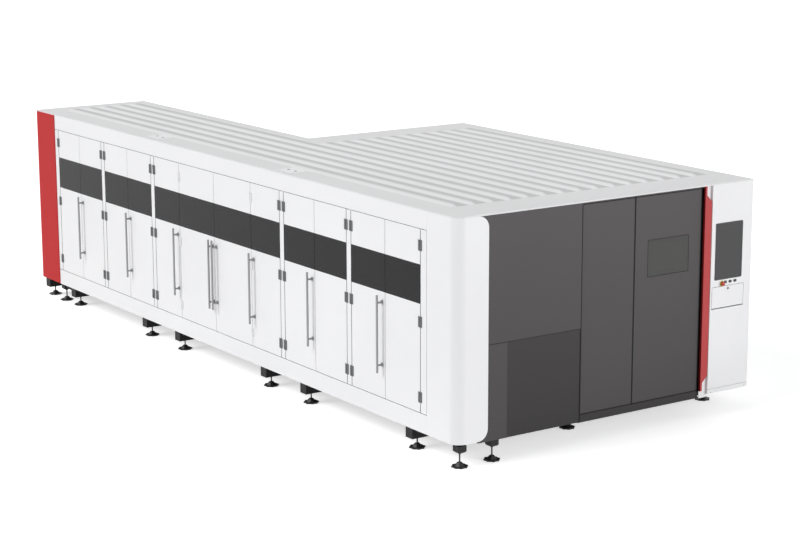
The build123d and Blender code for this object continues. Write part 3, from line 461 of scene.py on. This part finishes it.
def outline(width, height, corner, steps=4):
    """Rounded rectangle as (points, outward normals), anticlockwise, with steps + 1 points to a corner."""
    turn = np.radians(np.linspace(0, 90, steps + 1)[None, :] + np.arange(4)[:, None] * 90)
    normals = np.stack([np.cos(turn), np.sin(turn)], axis=-1)
    signs = np.array([(1, 1), (-1, 1), (-1, -1), (1, -1)])
    centres = signs * (width / 2 - corner, height / 2 - corner)
    points = centres[:, None, :] + corner * normals
    return points.reshape(-1, 2), normals.reshape(-1, 2)


def upright(flat, proud, centre, across, outward):
    """Points of one copy that stand on an upright face, round a centre.

    flat is (level, height) in the face, with level along across and height along Z,
    and proud is the distance from the face along outward.
    """
    level = flat[..., 0, None] * np.array(across, dtype=float)
    high = flat[..., 1, None] * np.array((0.0, 0.0, 1.0))
    return (np.array(centre) + level + high + proud[..., None] * np.array(outward, dtype=float))[None]


def bead(profile, centre, size, corner, across, outward):
    """Points of a closed (offset, forward) profile carried round a rounded rectangle of (width, height)."""
    path, normals = outline(*size, corner)
    profile = np.array(profile)
    flat = path[:, None, :] + profile[None, :, 0, None] * normals[:, None, :]
    return upright(flat, profile[None, :, 1], centre, across, outward)


def pad(steps, centre, size, corner, across, outward):
    """Points of a rounded rectangle carried outward; each step is (offset of its edge, distance)."""
    path, normals = outline(*size, corner)
    steps = np.array(steps)
    flat = path[None] + steps[:, 0, None, None] * normals[None]
    return upright(flat, steps[:, 1, None], centre, across, outward)


def front_of(name):
    """Centre of a CAD node's front face, and its (width, height)."""
    low, high = corners_of(name)
    return ((low[0] + high[0]) / 2, low[1], (low[2] + high[2]) / 2), (high[0] - low[0], high[2] - low[2])


to_right = (1, 0, 0)
to_front = (0, -1, 0)
front_glass = filter_glass("front_glass", (0.085, 0.088, 0.08), 0.16, 1.5)
finish(["front_door_window"], front_glass)
gasket_section = [(-0.003, -0.0005), (-0.0025, 0.0009), (0.0, 0.0014), (0.0025, 0.0009), (0.003, -0.0005)]
gasket = bead(gasket_section, *front_of("front_door_window"), corner=0.008, across=to_right, outward=to_front)
skin("front_window_gasket", gasket, seal_black, "front_door", ring_of_rows=True)

# Door edge trim: black rubber round each of the sliding door's two panels.
# It is pressed over the folded edge of the sheet, up to the hanger strip along the top.
door_low, door_high = corners_of("front_door")
hanger_height = 0.016
door_top = door_high[2] - hanger_height
panel_split = 0.3455
trim_section = [(-0.009, -0.0005), (-0.0085, 0.0006), (-0.0015, 0.0006), (-0.0006, 0.0), (-0.0006, -0.0005)]
for number, (start, end) in enumerate(((door_low[0], panel_split), (panel_split, door_high[0]))):
    panel_centre = ((start + end) / 2, door_low[1], (door_low[2] + door_top) / 2)
    panel_size = (end - start, door_top - door_low[2])
    edge_trim = bead(trim_section, panel_centre, panel_size, corner=0.003, across=to_right, outward=to_front)
    trim_name = f"door_edge_trim_{number + 1}"
    skin(trim_name, edge_trim, seal_black, "front_door", ring_of_rows=True)

# Red trim beside the console: a folded strip, its red a little duller than the end panel's.
# Its left return, towards the door, is painted a darker red as shade.
strip_red = powder_coat("strip_red", (0.47, 0.05, 0.052), 0.42, peel=0.08, shine=0.25)
finish(["red_trim"], strip_red)
shaded_return_red = powder_coat("shaded_return_red", (0.2, 0.012, 0.013), 0.5, peel=0.08, shine=0.1)
part_of("red_trim", shaded_return_red, lambda centre, normal: normal[:, 0] < -0.7)

# Console: a white sheet housing, its left return painted in the trim's darker red as shade, with a grey joint
# over the plinth.
# A round yellow plate lies under the emergency stop. Two pan-head screws hold the plinth.
finish(["console_body"], cladding_white)
collar_yellow = powder_coat("collar_yellow", (0.5, 0.33, 0.03), 0.4, peel=0.0, shine=0.3)
joint_grey = powder_coat("joint_grey", (0.45, 0.45, 0.455), 0.6)
console_return = 1.2
joint_depth = 0.003


def console_left(centre, normal):
    """Left return of the housing."""
    return (centre[:, 0] < console_return) & (normal[:, 0] < -0.5)


def console_joint(centre, normal):
    """Bottom of the joint between the housing and its plinth."""
    return abs(centre[:, 1] - front_face - joint_depth) < slack


# The housing's left return takes the same dark red, painted shade, as the trim's return.
part_of("console_body", shaded_return_red, console_left)
part_of("console_body", joint_grey, console_joint)
part_of("console_body", collar_yellow, lambda centre, normal: centre[:, 1] < front_face - slack)
screw_steel = brushed_steel("screw_steel", (0.3, 0.3, 0.31), 0.35, (3, 3, 3))
pan_head = [(0.0052, -0.0005), (0.0052, 0.0012), (0.0042, 0.0024), (0.0018, 0.003)]
plinth_screws = [(1.33, front_face, 0.232), (1.77, front_face, 0.232)]
screw_heads = turned(pan_head, plinth_screws, to_front, sides=12)
skin("console_screws", screw_heads, screw_steel, "machine")

# Operator's screen: a flat glass front over a switched-off panel.
# A moulded black bezel laps its edge and clips into the housing.
screen_black = powder_coat("screen_black", (0.022, 0.022, 0.024), 0.22, peel=0.0, coat=0.12)
finish(["console_screen"], screen_black)
bezel_black = powder_coat("bezel_black", (0.02, 0.02, 0.022), 0.4, peel=0.2)
bezel_section = [(-0.009, -0.0005), (-0.008, 0.0012), (-0.001, 0.0012), (0.0015, -0.0015), (0.0015, -0.003)]
bezel = bead(bezel_section, *front_of("console_screen"), corner=0.012, across=to_right, outward=to_front)
skin("screen_bezel", bezel, bezel_black, "machine", ring_of_rows=True)

# Keyboard flap: white sheet with a return, hinged along its lower edge.
# A round black lock closes it, with a bright key barrel in the middle.
finish(["keyboard_flap"], cladding_white)


def lock_sides(centre, normal):
    """Round side of the lock, which stands proud of the flap."""
    return (centre[:, 1] < front_face) & (abs(normal[:, 1]) < 0.5)


part_of("keyboard_flap", joint_grey, lambda centre, normal: abs(normal[:, 1]) < 0.5)
part_of("keyboard_flap", bezel_black, lock_sides)
barrel = [(0.0062, -0.0005), (0.0062, 0.001), (0.0045, 0.002), (0.0015, 0.0024)]
lock_place = (1.519, -4.347, 1.253)
key_barrel = turned(barrel, lock_place, to_front, sides=16)
skin("key_barrel", key_barrel, screw_steel, "keyboard_flap")

# Push buttons: moulded black caps with rounded corners, set in spring holders behind the sheet.
# Each stands in a raised square ring.
button_black = powder_coat("button_black", (0.02, 0.02, 0.022), 0.35)
button_corner = 0.004
cap_steps = [(0.0, 0.0), (0.0, 0.0146), (-0.0007, 0.0161), (-0.0024, 0.0168), (-0.005, 0.017)]
ring_section = [(0.0008, -0.0005), (0.0008, 0.0022), (0.0016, 0.003), (0.0036, 0.003), (0.0042, 0.0022),
                (0.0042, -0.0005)]
for number in (1, 2, 3):
    button = f"push_button_{number}"
    low, high = corners_of(button)
    middle = (low + high) / 2
    size = (high[0] - low[0], high[2] - low[2])
    cap = pad(cap_steps, (middle[0], high[1], middle[2]), size, button_corner, to_right, to_front)
    cap_piece = skin(f"button_cap_{number}", cap, button_black, button)
    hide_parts(button)
    ring_centre = (middle[0], front_face, middle[2])
    ring = bead(ring_section, ring_centre, size, button_corner, to_right, to_front)
    skin(f"button_ring_{number}", ring, bezel_black, "machine", ring_of_rows=True)

# Emergency stop: a glossy red mushroom moulding on its stem.
# Its head is as wide and as high as the plain one that it stands for.
stop_red = powder_coat("stop_red", (0.55, 0.012, 0.012), 0.22, peel=0.0, coat=0.4)
stop_low, stop_high = corners_of("stop_button")
stop_middle = (stop_low + stop_high) / 2
stop_centre = (stop_middle[0], stop_high[1], stop_middle[2])
mushroom = [(0.008, 0.0), (0.008, 0.022), (0.0165, 0.0255), (0.0194, 0.0285), (0.02, 0.033), (0.0194, 0.0405),
            (0.0172, 0.0452), (0.0128, 0.0482), (0.0068, 0.0496), (0.0015, 0.05)]
stop_points = turned(mushroom, stop_centre, to_front, sides=36)
mushroom_piece = skin("stop_mushroom", stop_points, stop_red, "stop_button")
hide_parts("stop_button")

# Side door leaves: folded white trays with a foamed black seal round their edges.
# Hinge halves are zinc castings, passivated dark grey; those on the folding seams are painted over.
skirt_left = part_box("side_frame")[0][0]
folds_reach = 0.9
leaf_names = sorted(name.removeprefix("door_") for name in nodes if name.startswith("door_"))
finish([f"door_{leaf}" for leaf in leaf_names], cladding_white)
hinge_grey = powder_coat("hinge_grey", (0.14, 0.143, 0.15), 0.4, peel=0.1, shine=0.4)
finish(["hinge_plates"], hinge_grey)


def hinge_faces(centre, normal):
    """Faces that stand proud of a leaf, except at the folding seams of the wide bay."""
    return (centre[:, 0] < skirt_left - slack) & (abs(centre[:, 1]) > folds_reach)


def leaf_span(leaf):
    """Middle and width of a leaf along Y, taken from its window, which is as wide."""
    low, high = corners_of(f"pane_{leaf}")
    return (low[1] + high[1]) / 2, high[1] - low[1]


to_near = (0, -1, 0)
to_left = (-1, 0, 0)
seal_section = [(0.0, -0.026), (0.0, -0.0012), (0.0012, -0.0008), (0.0018, -0.002), (0.0018, -0.026)]
for leaf in leaf_names:
    part_of(f"door_{leaf}", hinge_grey, hinge_faces)
    leaf_low, leaf_high = corners_of(f"door_{leaf}")
    leaf_middle, leaf_width = leaf_span(leaf)
    leaf_centre = (skirt_left, leaf_middle, (leaf_low[2] + leaf_high[2]) / 2)
    leaf_size = (leaf_width, leaf_high[2] - leaf_low[2])
    seal = bead(seal_section, leaf_centre, leaf_size, corner=0.0015, across=to_near, outward=to_left)
    skin(f"edge_seal_{leaf}", seal, seal_black, f"leaf_{leaf}", ring_of_rows=True)

# Side windows: dark filter glass, one pane to a leaf.
# The panes are bonded flush into the trays with black adhesive.
side_glass = filter_glass("side_glass", (0.022, 0.022, 0.023), 0.16, 1.25)
finish([f"pane_{leaf}" for leaf in leaf_names], side_glass)

# Hinge screws: two screws with low round heads, one over the other, in each wing of every hinge.
# Those of the wide bay's folding seams are painted over with the leaf.
head = [(0.0048, -0.0005), (0.0048, 0.0004), (0.0036, 0.0013), (0.0016, 0.0017)]
hinge_levels = (0.552, 1.259, 1.967)
screw_rise = 0.032
wing_shift = 0.0175
wing_proud = 0.007
head_levels = np.add.outer(hinge_levels, (-screw_rise, screw_rise)).ravel()
hinges = [joint for joint in frame["joints"] if joint["child"].startswith("leaf_")]


def hinge_line(joint):
    """Place of a hinge's pin along Y, and the side of it where its leaf lies, 1 or -1."""
    pin_y = joint["pos_m"][1]
    return pin_y, np.sign(leaf_span(joint["child"].removeprefix("leaf_"))[0] - pin_y)


for joint in hinges:
    pin_y, side = hinge_line(joint)
    for holder, shift in ((joint["child"], wing_shift), (joint["parent"], -wing_shift)):
        head_x = np.full(len(head_levels), skirt_left - wing_proud)
        head_y = np.full(len(head_levels), pin_y + side * shift)
        heads = turned(head, np.stack([head_x, head_y, head_levels], axis=-1), to_left, sides=12)
        if abs(pin_y) > folds_reach:
            coat, slot = hinge_grey, "grey_paint"
        else:
            coat, slot = cladding_white, "white_paint"
        skin(f"screws_{joint['name']}_{holder}", heads, coat, holder)


# Post seals: a black rubber bead, 6 mm wide, down the frame beside every hinged edge.
# The fixed front panel's free edge has a wider one, and white sealant fills the column's joint
# above and below the doors.

def upright_beads(places, levels, half_width, proud, across, outward):
    """Points of half-round beads: a half circle, squeezed to the proud height, carried up between levels.

    places are the middles of the beads' feet; levels is (low, high) for each.
    """
    arc = np.radians(np.linspace(180, 0, 7))
    section = half_width * np.cos(arc)[:, None] * np.array(across, dtype=float)
    section = section + (proud * np.sin(arc) - 0.0004)[:, None] * np.array(outward, dtype=float)
    feet = np.array(places, dtype=float)[:, None, None, :] + section[None, None]
    points = np.repeat(feet, 2, axis=1)
    points[..., 2] = np.array(levels)[:, :, None]
    return points


post_levels = (0.407, 2.114)
post_shift = 0.0031
post_lines = [hinge_line(joint) for joint in hinges if joint["parent"] == "machine"]
post_places = [(skirt_left, pin_y - side * post_shift, 0) for pin_y, side in post_lines]
post_seals = upright_beads(post_places, [post_levels] * len(post_places), half_width=0.003, proud=0.0016,
                           across=to_near, outward=to_left)
skin("post_seals", post_seals, seal_black, "machine")
panel_edge = (-0.3175, front_face + 0.003, 0)
panel_levels = (0.21, 2.27)
panel_seal = upright_beads([panel_edge], [panel_levels], half_width=0.0055, proud=0.0016,
                           across=to_right, outward=to_front)
skin("fixed_panel_seal", panel_seal, seal_black, "machine")
column_joint = (skirt_left + 0.0006, -3.8785, 0)
column_levels = [(0.222, 0.401), (2.12, 2.284)]
sealant = upright_beads([column_joint] * 2, column_levels, half_width=0.0025, proud=0.0009,
                        across=to_near, outward=to_left)
skin("column_sealant", sealant, cladding_white, "machine")

# Handles: stainless tube brushed round its axis, with pressed-in end plugs.
# Two turned necks hold each, with a rosette against the door over their screws.
handle_steel = brushed_steel("handle_steel", (0.3, 0.3, 0.305), 0.3, (1, 1, 20), metal=0.85)
neck = [(0.02, -0.0005), (0.02, 0.0062), (0.0182, 0.0084), (0.0125, 0.0094), (0.0122, 0.021),
        (0.0092, 0.0235), (0.0088, 0.0505)]
end_plug = [(0.0104, -0.001), (0.0104, 0.0008), (0.0088, 0.0024), (0.005, 0.0034), (0.0015, 0.0036)]
tube_radius = 0.011
neck_inset = 0.07
handle_leaves = sorted(name.removeprefix("handle_") for name in nodes if name.startswith("handle_"))
finish([f"handle_{leaf}" for leaf in handle_leaves], handle_steel)
for leaf in handle_leaves:
    low, high = corners_of(f"handle_{leaf}")
    handle_y = (low[1] + high[1]) / 2
    tube_x = low[0] + tube_radius
    neck_places = [(skirt_left, handle_y, low[2] + neck_inset), (skirt_left, handle_y, high[2] - neck_inset)]
    necks = turned(neck, neck_places, to_left, sides=28)
    skin(f"necks_{leaf}", necks, handle_steel, f"leaf_{leaf}")
    for end, level, up in (("top", high[2], 1), ("low", low[2], -1)):
        plug = turned(end_plug, (tube_x, handle_y, level), (0, 0, up))
        skin(f"{end}_plug_{leaf}", plug, handle_steel, f"leaf_{leaf}")


# Studio: a white floor that fades into a white backdrop.
# Both look brighter than the light that they give, so the ground stays white and the shadows soft.

def seen_directly(tree):
    """1 for rays that come from the camera, off a gloss or through glass, and 0 for all others."""
    rays = tree.nodes.new("ShaderNodeLightPath")
    seen = maths(tree, "MAXIMUM", rays.outputs["Is Camera Ray"], rays.outputs["Is Glossy Ray"])
    return maths(tree, "MAXIMUM", seen, rays.outputs["Is Transmission Ray"])


floor_reach = 120.0
floor_lift = 0.6
sky_light = 0.36
floor_corners = [(x * floor_reach, y * floor_reach, 0) for x, y in ((-1, -1), (1, -1), (1, 1), (-1, 1))]
floor_mesh = bpy.data.meshes.new("studio_floor")
floor_mesh.from_pydata(floor_corners, [], [(0, 1, 2, 3)])
floor = bpy.data.objects.new("studio_floor", floor_mesh)
bpy.context.scene.collection.objects.link(floor)
floor_paint = bpy.data.materials.new("studio_floor")
floor_paint.use_nodes = True
floor_tree = floor_paint.node_tree
floor_tree.nodes.clear()
floor_output = floor_tree.nodes.new("ShaderNodeOutputMaterial")
floor_diffuse = floor_tree.nodes.new("ShaderNodeBsdfDiffuse")
floor_diffuse.inputs["Color"].default_value = (0.8, 0.8, 0.8, 1)
floor_glow = floor_tree.nodes.new("ShaderNodeEmission")
floor_glow.inputs["Color"].default_value = (1, 1, 1, 1)
glow = maths(floor_tree, "MULTIPLY", seen_directly(floor_tree), floor_lift)
floor_tree.links.new(glow, floor_glow.inputs["Strength"])
floor_sum = floor_tree.nodes.new("ShaderNodeAddShader")
floor_tree.links.new(floor_diffuse.outputs[0], floor_sum.inputs[0])
floor_tree.links.new(floor_glow.outputs[0], floor_sum.inputs[1])
floor_tree.links.new(floor_sum.outputs[0], floor_output.inputs["Surface"])
floor_mesh.materials.append(floor_paint)

world = bpy.data.worlds.new("studio_sky")
bpy.context.scene.world = world
world.use_nodes = True
sky_tree = world.node_tree
sky_tree.nodes.clear()
sky_output = sky_tree.nodes.new("ShaderNodeOutputWorld")
white_sky = sky_tree.nodes.new("ShaderNodeBackground")
white_sky.inputs["Color"].default_value = (1, 1, 1, 1)
white_sky.inputs["Strength"].default_value = 1.0
soft_sky = sky_tree.nodes.new("ShaderNodeBackground")
soft_sky.inputs["Strength"].default_value = sky_light
sky_place = sky_tree.nodes.new("ShaderNodeTexCoord")
sky_ramp = sky_tree.nodes.new("ShaderNodeValToRGB")
sky_ramp.color_ramp.elements[0].color = (1, 1, 1, 1)
sky_ramp.color_ramp.elements[1].color = (0.8, 0.81, 0.83, 1)
sky_tree.links.new(coordinate(sky_tree, sky_place.outputs["Generated"], "Z"), sky_ramp.inputs["Fac"])
sky_tree.links.new(sky_ramp.outputs["Color"], soft_sky.inputs["Color"])
sky_mix = sky_tree.nodes.new("ShaderNodeMixShader")
sky_tree.links.new(seen_directly(sky_tree), sky_mix.inputs["Fac"])
sky_tree.links.new(soft_sky.outputs[0], sky_mix.inputs[1])
sky_tree.links.new(white_sky.outputs[0], sky_mix.inputs[2])
sky_tree.links.new(sky_mix.outputs[0], sky_output.inputs["Surface"])


# Lamps: a broad one from the left, slightly from behind, and a softer, low one from the front right.

def lamp(name, from_direction, strength, softness):
    """Sun lamp that shines from a direction; softness is its angle in degrees."""
    light = bpy.data.lights.new(name, "SUN")
    light.energy = strength
    light.angle = math.radians(softness)
    holder = bpy.data.objects.new(name, light)
    holder.rotation_euler = Vector(from_direction).to_track_quat("Z", "Y").to_euler()
    bpy.context.scene.collection.objects.link(holder)


lamp("left_lamp", (-0.78, 0.2, 0.6), strength=2.15, softness=30)
lamp("front_lamp", (0.5, -0.85, 0.15), strength=2.3, softness=40)

# Camera: fitted to the straight edges of the enclosure in the 800 by 533 photograph.
# Its place is measured from the near left corner, where the skirt meets the front face on the floor.
camera_place = Vector((-10.22, -14.06, 5.587)) + Vector((skirt_left, front_face, 0))
heading = math.radians(34.382)
pitch = math.radians(12.076)
roll = math.radians(-0.152)
sight = Vector((math.sin(heading) * math.cos(pitch), math.cos(heading) * math.cos(pitch), -math.sin(pitch)))
level_right = Vector((math.cos(heading), -math.sin(heading), 0))
level_up = level_right.cross(sight)
camera_right = level_right * math.cos(roll) + level_up * math.sin(roll)
camera_up = level_up * math.cos(roll) - level_right * math.sin(roll)
camera_data = bpy.data.cameras.new("camera")
camera_data.lens = 91.2
camera_data.sensor_width = 36.0
camera_data.sensor_fit = "HORIZONTAL"
camera_data.clip_end = 400
camera = bpy.data.objects.new("camera", camera_data)
turn = Matrix((camera_right, camera_up, -sight)).transposed()
camera.matrix_world = Matrix.Translation(camera_place) @ turn.to_4x4()
bpy.context.scene.collection.objects.link(camera)
bpy.context.scene.camera = camera
bpy.context.scene.view_settings.view_transform = "Standard"
